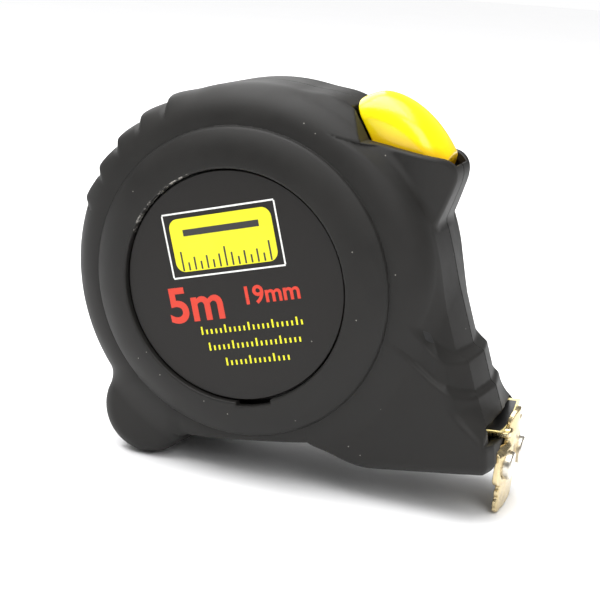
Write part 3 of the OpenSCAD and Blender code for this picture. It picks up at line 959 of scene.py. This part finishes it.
@dataclass
class EndHook:
    """The sliding end hook with its bowed wing, wide middle and toothed claw."""

    place: Place
    root: Point = (46.22, -29.26)
    lean: float = math.radians(11)
    run_tilt: float = math.radians(2.9975)
    thick: float = 0.95
    curve_r: float = 22.54
    blade_t: float = 0.2
    wing_half: float = 3.2
    band_half: float = 8.4
    claw_half: float = 6.7
    tooth: float = 0.62
    pitch: float = 2.1
    magnet_r: float = 2.6
    magnet_w: float = 4.4
    magnet_v: float = -6.0
    step: float = 0.2
    most: int = 120_000

    def leaned(self, x: Array, z: Array) -> tuple[Array, Array]:
        """Distances out of the plate and up along it."""
        return turned(x - self.root[0], z - self.root[1], self.lean)

    def form(self, x: Array, w: Array, z: Array) -> Array:
        """Signed distance to the hook.

        Args:
            x: Distances forward.
            w: Distances out from the parting plane.
            z: Heights.

        Returns:
            The signed distance.
        """
        w = np.abs(w)
        out, up = self.leaned(x, z)
        wing = edge(w - self.wing_half, slab(up, -4, 3.6), 2.4)
        band = edge(w - self.band_half + 0.1 * np.maximum(up + 2, 0), slab(up, -9.4, -2.2), 1.6)
        claw = edge(w - self.claw_half + 0.06 * (-9 - up), slab(up, -15.15, -7), 1.0)
        for i in range(3):
            notch = np.hypot(w - self.claw_half - 0.1, up + 10.1 + self.pitch * i) - self.tooth
            claw = edge(claw, -notch, 0.15)
        for i in range(2):
            notch = np.hypot(w - 1.2 - 2.6 * i, up + 15.4) - 0.6
            claw = edge(claw, -notch, 0.15)
        outline = fillet(fillet(wing, band, 0.9), claw, 0.6)
        seat = np.hypot(w - self.magnet_w, up - self.magnet_v)
        outline = np.maximum(outline, self.magnet_r + 0.05 - seat)
        lower = ease(-up, 1.2, 3.6)
        middle = self.thick / 2 + 0.05 - (0.075 * (1 - lower) + 0.012 * lower) * w**2
        swell = 0.35 * (1 - ease(np.abs(seat - self.magnet_r - 0.6), 0.0, 0.9))
        plate = edge(outline, np.abs(out - middle) - self.thick / 2 - swell * 0.4, 0.2)
        back, rise = turned(x - self.root[0], z - self.root[1], self.run_tilt)
        sweep = np.hypot(rise - self.curve_r, w) - self.curve_r - self.blade_t - 0.05 - self.thick / 2
        tongue = edge(np.abs(sweep) - self.thick / 2, np.maximum(w - 5.95, slab(back, -9, 0.5)), 0.25)
        slotted = np.hypot(np.maximum(np.abs(back + 6.1 + 0.5) - 0.5, 0), w - 3.4) - 1.05
        tongue = np.maximum(tongue, -slotted)
        return fillet(plate, tongue, 0.9)

    def build(self) -> bpy.types.Object:
        """Meshes and dresses the hook.

        Returns:
            The hook.
        """
        points, faces = skin(self.form, [36, -9, -46], [49.4, 9, -22], self.step)
        piece = add_piece("end_hook_plate", self.place.metres(points, Side.CLIP), faces, "end_hook",
                          Finishes.of(Finishes.NICKEL), ("hook",))
        thin_out(piece, self.most)
        shade_by_form(piece, self.form, self.place, Side.CLIP)
        return piece

    def magnets(self) -> bpy.types.Object:
        """Lathes the two magnets, with a chamfer and a dished face.

        Returns:
            The two magnets as one piece.
        """
        steps = 64
        profile = [(0, 0), (2.58, 0), (2.6, 0.1), (2.6, 1.6), (2.42, 1.82), (2.1, 1.88), (1.9, 1.8),
                   (0, 1.76)]
        c, s = math.cos(self.lean), math.sin(self.lean)
        points, faces = [], []
        for sign in (-1, 1):
            base = len(points)
            for radius, out in profile:
                for i in range(steps):
                    turn = 2 * math.pi * i / steps
                    up = self.magnet_v + radius * math.sin(turn)
                    x = self.root[0] + (out + 0.02) * c + up * s
                    z = self.root[1] - (out + 0.02) * s + up * c
                    points.append((x, sign * self.magnet_w + radius * math.cos(turn), z))
            for row in range(len(profile) - 1):
                for i in range(steps):
                    j = (i + 1) % steps
                    a, b = base + row * steps, base + (row + 1) * steps
                    faces.append((a + i, a + j, b + j, b + i))
        piece = add_piece("round_magnets", self.place.metres(np.array(points), Side.CLIP), faces,
                          "end_hook", Finishes.of(Finishes.MAGNET), ("hook_magnets",))
        tidy_mesh(piece)
        return piece


def tidy_mesh(piece: bpy.types.Object, angle: float = math.radians(35)) -> None:
    """Welds doubled points, drops empty faces, turns faces outwards and smooths by angle.

    Args:
        piece: The piece.
        angle: Edges that turn by less than this are smooth.
    """
    made = bmesh.new()
    made.from_mesh(piece.data)
    bmesh.ops.remove_doubles(made, verts=made.verts, dist=1e-7)
    bmesh.ops.dissolve_degenerate(made, edges=made.edges, dist=1e-8)
    bmesh.ops.recalc_face_normals(made, faces=made.faces)
    for face in made.faces:
        face.smooth = True
    for rim in made.edges:
        rim.smooth = len(rim.link_faces) == 2 and rim.calc_face_angle(0) < angle
    made.to_mesh(piece.data)
    made.free()


def figures(text: str, size: float, fatten: float, fineness: int,
            high: float = 0.0) -> tuple[Array, list[list[int]]]:
    """Plain figures as a mesh round their own middle.

    Args:
        text: The figures.
        size: Their type size.
        fatten: How far their outlines are moved outwards.
        fineness: How many steps a curve gets.
        high: Half their thickness.

    Returns:
        The points and the faces.
    """
    curve = bpy.data.curves.new("figures", "FONT")
    curve.body, curve.size, curve.offset = text, size, fatten
    curve.align_x, curve.align_y = "CENTER", "CENTER"
    curve.extrude, curve.resolution_u = high, fineness
    shown = bpy.data.objects.new("figures", curve)
    bpy.context.scene.collection.objects.link(shown)
    mesh = bpy.data.meshes.new_from_object(shown.evaluated_get(bpy.context.evaluated_depsgraph_get()))
    points = np.array([v.co for v in mesh.vertices])
    faces = [list(p.vertices) for p in mesh.polygons]
    bpy.data.objects.remove(shown)
    bpy.data.curves.remove(curve)
    bpy.data.meshes.remove(mesh)
    return points, faces


@dataclass
class Label:
    """A label disc with its chamfered rim and plain printed scale marks."""

    place: Place
    side: Side
    radius: float = 21.2
    inner: float = 16.4
    face: float = 17.0
    hole: float = 0.0
    print_high: float = 0.03
    second_print: float = 0.045
    turn: float = math.radians(7)

    def disc(self) -> bpy.types.Object:
        """Lathes the disc.

        Returns:
            The disc.
        """
        steps = 192
        rim = [(self.radius, self.inner), (self.radius, self.face - 0.16), (self.radius - 0.16, self.face)]
        profile = [(self.hole, self.inner), *rim, (self.hole, self.face)]
        points = [(r * math.cos(2 * math.pi * i / steps), w, r * math.sin(2 * math.pi * i / steps))
                  for r, w in profile for i in range(steps)]
        faces = [(row * steps + i, row * steps + (i + 1) % steps, nxt * steps + (i + 1) % steps,
                  nxt * steps + i)
                 for row, nxt in zip(range(5), [1, 2, 3, 4, 0]) if self.hole or row < 4
                 for i in range(steps)]
        piece = add_piece(f"label_disc_{self.side.tag}", self.place.metres(np.array(points), self.side),
                          faces, "case", Finishes.of(Finishes.LABEL),
                          (f"label_{self.side.tag}",))
        tidy_mesh(piece, math.radians(30))
        return piece

    def stamp(self, name: str, shapes: list[list[Point]], finish: Finish,
              high: float | None = None) -> bpy.types.Object:
        """Prints flat shapes on the face as a thin film.

        Args:
            name: The piece's name.
            shapes: Closed outlines in the label's own upright axes.
            finish: The ink.
            high: The film's height over the face, if not the usual one.

        Returns:
            The film.
        """
        points, faces = [], []
        for shape in shapes:
            base, n = len(points), len(shape)
            for w in (self.face - 0.02, self.face + (high or self.print_high)):
                for u, v in shape:
                    across, up = turned(u, v, self.turn)
                    points.append((-across * self.side.value, w, up))
            faces.append(tuple(range(base, base + n)))
            faces.append(tuple(range(base + 2 * n - 1, base + n - 1, -1)))
            faces += [(base + i, base + n + i, base + n + (i + 1) % n, base + (i + 1) % n)
                      for i in range(n)]
        piece = add_piece(name, self.place.metres(np.array(points), self.side), faces, "case",
                          Finishes.of(finish))
        tidy_mesh(piece, math.radians(20))
        return piece

    def lettering(self, name: str, text: str, size: float, at: Point,
                  finish: Finish) -> bpy.types.Object:
        """Prints figures on the face.

        Args:
            name: The piece's name.
            text: The figures.
            size: Their height.
            at: The middle of the line in the label's own upright axes.
            finish: The ink.

        Returns:
            The printed figures.
        """
        cap_share = 0.72
        raw, faces = figures(text, size / cap_share, 0.028 * size, 8, self.print_high)
        across, up = turned(raw[:, 0] + at[0], raw[:, 1] + at[1], self.turn)
        points = np.stack([-across * self.side.value, self.face + raw[:, 2], up], axis=1)
        piece = add_piece(name, self.place.metres(points, self.side), faces, "case",
                          Finishes.of(finish))
        tidy_mesh(piece, math.radians(20))
        return piece

    @staticmethod
    def box(u: float, v: float, wide: float, high: float, corner: float = 0.0) -> list[Point]:
        """A rectangle's outline, with rounded corners if asked.

        Args:
            u: Its middle across.
            v: Its middle up.
            wide: Its width.
            high: Its height.
            corner: Radius of its corners.

        Returns:
            The outline's points.
        """
        if not corner:
            a, b = wide / 2, high / 2
            return [(u - a, v - b), (u + a, v - b), (u + a, v + b), (u - a, v + b)]
        spots = []
        for quarter in range(4):
            cu = u + (wide / 2 - corner) * (1 if quarter in (0, 3) else -1)
            cv = v + (high / 2 - corner) * (1 if quarter < 2 else -1)
            for i in range(9):
                turn = math.pi / 2 * (quarter + i / 8)
                spots.append((cu + corner * math.cos(turn), cv + corner * math.sin(turn)))
        return spots

    def build(self) -> None:
        """Builds the disc and its print."""
        self.disc()
        if self.side is Side.LABEL:
            plate = [self.box(-0.3, 8.7, 20.4, 9.8, 1.8)]
            self.stamp("label_plate", plate, Finishes.YELLOW_INK)
            self.stamp("label_rules", self.rules(-0.3, 8.7), Finishes.BLACK_INK, self.second_print)
            self.stamp("label_frame", self.frame_lines(-0.3, 8.7, 22.4, 11.8, 0.3), Finishes.WHITE_INK)
            self.lettering("label_length", "5m", 6.6, (-8.2, -2.6), Finishes.RED_INK)
            self.lettering("label_width", "19mm", 3.3, (7.0, -2.0), Finishes.RED_INK)
            bars = []
            for row, wide in enumerate((21.0, 19.0, 13.5)):
                bars += self.tick_row(2.0, -7.4 - 3.1 * row, wide)
            self.stamp("label_ticks", bars, Finishes.YELLOW_INK)
        else:
            self.stamp(f"label_ticks_{self.side.tag}", self.dial_ticks(), Finishes.YELLOW_INK)

    def rules(self, u: float, v: float) -> list[list[Point]]:
        """Ruler marks on the yellow plate.

        Args:
            u: The plate's middle across.
            v: The plate's middle up.

        Returns:
            The marks' outlines.
        """
        marks = []
        for i in range(-7, 8):
            high = 3.6 if i % 7 == 0 else 2.4 if i % 2 else 1.5
            marks.append(self.box(u + i * 1.26, v - 4.7 + high / 2, 0.34, high))
        marks.append(self.box(u, v + 2.2, 15.2, 1.2))
        return marks

    @staticmethod
    def frame_lines(u: float, v: float, wide: float, high: float, line: float) -> list[list[Point]]:
        """Four thin bars that frame the plate.

        Args:
            u: The frame's middle across.
            v: The frame's middle up.
            wide: Its width.
            high: Its height.
            line: The bars' thickness.

        Returns:
            The bars' outlines.
        """
        return [Label.box(u, v + high / 2, wide, line), Label.box(u, v - high / 2, wide, line),
                Label.box(u - wide / 2, v, line, high - line), Label.box(u + wide / 2, v, line, high - line)]

    @staticmethod
    def tick_row(u: float, v: float, wide: float) -> list[list[Point]]:
        """A row of short upright bars.

        Args:
            u: The row's middle across.
            v: The row's middle up.
            wide: The row's width.

        Returns:
            The bars' outlines.
        """
        pitch, line = 0.95, 0.34
        count = int(wide / pitch)
        bars = []
        for i in range(count):
            high = 1.5 if i % 5 == 0 else 0.9
            bars.append(Label.box(u + (i - (count - 1) / 2) * pitch, v - 0.75 + high / 2, line, high))
        return bars

    @staticmethod
    def dial_ticks() -> list[list[Point]]:
        """Marks round the rim of the plain disc.

        Returns:
            The marks' outlines.
        """
        rim, line = 19.6, 0.13
        marks = []
        for i in range(60):
            long = 2.2 if i % 5 == 0 else 1.2
            corners = [(rim, -line), (rim, line), (rim - long, line), (rim - long, -line)]
            marks.append([turned(r, t, 2 * math.pi * i / 60) for r, t in corners])
        return marks


@dataclass
class BladePrint:
    """The scale printed on the hollow side of the blade."""

    place: Place
    start: Point = (-14.0, -26.1)
    tilt: float = math.radians(2.9975)
    end: float = 59.7
    curve_r: float = 22.54
    half: float = 9.5
    film: float = 0.02
    marks: tuple[int, int] = (13, 51)
    patch: Point = (0.6, 11.6)

    def wrap(self, along: float, across: float, high: float) -> tuple[float, float, float]:
        """A point on the blade's hollow side.

        Args:
            along: Distance back from the blade's end.
            across: Distance across the blade from its middle, along its curve.
            high: Height above the surface.

        Returns:
            x, y and z in the reel frame.
        """
        turn = across / self.curve_r
        radius = self.curve_r - high
        rise = self.curve_r - radius * math.cos(turn)
        run = self.end - along
        c, s = math.cos(self.tilt), math.sin(self.tilt)
        return (self.start[0] + run * c + rise * s, radius * math.sin(turn),
                self.start[1] - run * s + rise * c)

    def build(self) -> None:
        """Prints the millimetre ticks, the centimetre figures and the black end."""
        ticks: list[tuple[float, float, float]] = []
        for mark in range(self.marks[0], self.marks[1] + 1):
            long = 5.2 if mark % 10 == 0 else 3.8 if mark % 5 == 0 else 2.6
            for sign in (-1, 1):
                ticks.append((mark, sign * (self.half - long / 2 - 0.25), long))
        points, faces = [], []
        for mark, middle, long in ticks:
            base = len(points)
            for a, b in ((-0.11, -0.5), (0.11, -0.5), (0.11, 0.5), (-0.11, 0.5)):
                points.append(self.wrap(mark + a, middle + b * long, self.film))
            faces.append((base, base + 1, base + 2, base + 3))
        self.lay("blade_ticks", points, faces, Finishes.BLACK_INK)
        for cm in range(2, 6):
            self.figure(str(cm), cm * 10 - 2.2)
        rows = [[self.wrap(along, self.half * 0.97 * i / 12, self.film) for i in range(-12, 13)]
                for along in self.patch]
        faces = [(i, i + 1, i + 26, i + 25) for i in range(24)]
        self.lay("blade_end_patch", rows[0] + rows[1], faces, Finishes.BLACK_INK)

    def lay(self, name: str, points: list, faces: list, finish: Finish) -> bpy.types.Object:
        """Adds a film of ink with a little thickness.

        Args:
            name: The film's name.
            points: Rows of x, w and z.
            faces: Rows of point numbers.
            finish: The ink.

        Returns:
            The film.
        """
        piece = add_piece(name, self.place.metres(np.array(points), Side.CLIP), faces, "blade",
                          Finishes.of(finish))
        made = bmesh.new()
        made.from_mesh(piece.data)
        bmesh.ops.recalc_face_normals(made, faces=made.faces)
        bmesh.ops.solidify(made, geom=made.faces[:], thickness=0.015 * MM)
        made.to_mesh(piece.data)
        made.free()
        return piece

    def figure(self, text: str, along: float) -> bpy.types.Object:
        """Prints one centimetre figure, wrapped on the blade.

        Args:
            text: The figure.
            along: Its middle, back from the blade's end.

        Returns:
            The figure as a film.
        """
        flat, faces = figures(text, 5.2, 0.08, 6)
        points = [self.wrap(along - u, v, self.film) for u, v, _ in flat.tolist()]
        return self.lay(f"blade_figure_{text}", points, faces, Finishes.BLACK_INK)


@dataclass
class Hardware:
    """The frame's own nodes that stay: each gets its finish, and those listed in eased get soft edges."""

    finishes: dict[str, Finish] = field(default_factory=lambda: {
        "centre_post": Finishes.STEEL,
        "reel": Finishes.SPOOL, "reel_cap": Finishes.SPOOL, "reel_washers": Finishes.STEEL,
        "mainspring": Finishes.SPRING_STEEL, "blade_coil": Finishes.BLADE, "blade_lead": Finishes.BLADE,
        "hook_rivets": Finishes.RIVET, "button_spring": Finishes.STEEL, "lock_lever": Finishes.SPOOL,
        "lever_pin": Finishes.STEEL, "brake_pad": Finishes.PAD, "mouth_guide": Finishes.STEEL,
        "strike_plate": Finishes.NICKEL, "case_screws": Finishes.SCREW, "belt_clip": Finishes.CLIP,
        "clip_screw": Finishes.SCREW, "clip_washer": Finishes.STEEL,
    })
    eased: dict[str, float] = field(default_factory=lambda: {
        "belt_clip": 0.25, "clip_screw": 0.15, "clip_washer": 0.1, "case_screws": 0.12,
        "hook_rivets": 0.15, "strike_plate": 0.1,
    })

    def dress(self) -> None:
        """Gives every node its finish, and eases the edges of those that show."""
        for name, finish in self.finishes.items():
            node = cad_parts[name]
            node.data.materials.clear()
            node.data.materials.append(Finishes.of(finish))
            if name in self.eased:
                ease_edges = node.modifiers.new("eased edges", "BEVEL")
                ease_edges.width = self.eased[name] * MM
                ease_edges.segments = 3
                ease_edges.limit_method = "ANGLE"
                ease_edges.angle_limit = math.radians(40)
                ease_edges.harden_normals = True
            LOG.info("%s: %s", name, finish.name)


@dataclass
class Studio:
    """The pale floor, the soft lights and the camera."""

    place: Place
    eye: tuple[float, float, float] = (96.045, -221.797, 46.284)
    azimuth: float = 0.3863
    elevation: float = 0.2159
    roll: float = -0.0705
    lens: float = 76.76
    heel_at: Point = (-23.5, -25.5)
    heel_r: float = 9.3
    tip: Point = (43.2, -44.36)

    def floor_axes(self) -> tuple[Vector, Vector, Vector]:
        """Where the floor lies, so that the heel and the hook's tip rest on it.

        Returns:
            A point on the floor, its forward direction and its upward direction.
        """
        span = (self.tip[0] - self.heel_at[0], self.tip[1] - self.heel_at[1])
        reach = math.hypot(*span)
        angle = math.atan2(span[1], span[0]) + math.asin(self.heel_r / reach)
        forward = Vector((math.cos(angle), 0, math.sin(angle)))
        up = Vector((-math.sin(angle), 0, math.cos(angle)))
        low = self.place.metres(np.array([[self.tip[0], 0, self.tip[1]]]), Side.CLIP)[0]
        return Vector(low) - up * 0.0001, forward, up

    def floor(self) -> None:
        """Lays the floor under the heel and the hook's tip."""
        at, forward, up = self.floor_axes()
        side = up.cross(forward)
        size = 3.0
        mesh = bpy.data.meshes.new("floor")
        corners = [at + forward * a * size + side * b * size
                   for a, b in ((-1, -1), (1, -1), (1, 1), (-1, 1))]
        mesh.from_pydata([tuple(c) for c in corners], [], [(0, 1, 2, 3)])
        floor = bpy.data.objects.new("floor", mesh)
        bpy.context.scene.collection.objects.link(floor)
        paper = Finish("pale paper", (0.94, 0.94, 0.945), 0.7, specular=0.15, tone=0.005, tone_mm=60.0,
                       gloss_swing=0.02, grain_mm=0.0)
        mesh.materials.append(paper.make())

    def lamp(self, name: str, at: tuple[float, float, float], size: float, power: float,
             tint: Colour = (1, 1, 1)) -> None:
        """Hangs a soft square lamp that faces the body.

        Args:
            name: Its name.
            at: Where it hangs, in metres from the reel's axis.
            size: Its side.
            power: Its power in watts.
            tint: Its colour.
        """
        data = bpy.data.lights.new(name, "AREA")
        data.size, data.energy, data.color = size, power, tint
        lamp = bpy.data.objects.new(name, data)
        bpy.context.scene.collection.objects.link(lamp)
        lamp.location = self.place.axis + Vector(at)
        lamp.rotation_mode = "QUATERNION"
        lamp.rotation_quaternion = (-Vector(at)).to_track_quat("-Z", "Y")

    def light(self) -> None:
        """Sets the white surroundings and the lamps."""
        scene = bpy.context.scene
        scene.view_settings.view_transform = "Standard"
        world = bpy.data.worlds.new("white tent")
        scene.world = world
        world.use_nodes = True
        w = Wiring(world.node_tree)
        world.node_tree.nodes.clear()
        ray = w.add("ShaderNodeLightPath").outputs["Is Camera Ray"]
        strength = w.math("ADD", w.math("MULTIPLY", ray, 0.76), 0.24)
        sky = w.add("ShaderNodeBackground", {"Color": [1, 1, 1, 1], "Strength": strength})
        out = w.add("ShaderNodeOutputWorld")
        world.node_tree.links.new(sky.outputs[0], out.inputs[0])
        self.lamp("top", (-0.05, -0.05, 0.75), 0.8, 6.0)
        self.lamp("front", (0.55, -0.45, 0.5), 0.5, 3.0)
        self.lamp("back", (-0.4, 0.6, 0.5), 0.6, 3.0)
        data = bpy.data.lights.new("haze", "SUN")
        data.energy, data.angle = 2.6, math.radians(70)
        haze = bpy.data.objects.new("haze", data)
        scene.collection.objects.link(haze)

    def camera(self) -> None:
        """Sets the camera."""
        data = bpy.data.cameras.new("camera")
        data.lens, data.sensor_width = self.lens, 36
        data.clip_start, data.clip_end = 0.005, 20
        view = bpy.data.objects.new("camera", data)
        bpy.context.scene.collection.objects.link(view)
        a, e, r = self.azimuth, self.elevation, self.roll
        back = Vector((math.sin(a) * math.cos(e), -math.cos(a) * math.cos(e), math.sin(e)))
        right = Vector((math.cos(a), math.sin(a), 0))
        up = back.cross(right)
        level, top = math.cos(r) * right + math.sin(r) * up, -math.sin(r) * right + math.cos(r) * up
        stand = Matrix((level, top, back)).transposed().to_4x4()
        stand.translation = Vector((self.place.axis.x, 0, self.place.axis.z)) + Vector(self.eye) * MM
        view.matrix_world = stand
        bpy.context.scene.camera = view

    def build(self) -> None:
        """Builds the floor, lights and camera."""
        self.floor()
        self.light()
        self.camera()


def main() -> None:
    """Builds and dresses the whole tape measure."""
    logging.basicConfig(level=logging.INFO, format="%(name)s %(message)s")
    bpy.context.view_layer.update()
    place = Place()
    Studio(place).build()
    Hardware().dress()
    jacket = Jacket(place)
    for side in Side:
        jacket.build(side)
        jacket.shell(side)
    Button(place, jacket).build()
    hook = EndHook(place)
    hook.build()
    hook.magnets()
    Label(place, Side.LABEL).build()
    Label(place, Side.CLIP, hole=1.7).build()
    BladePrint(place).build()
    bpy.context.view_layer.update()


if __name__ == "__main__":
    main()
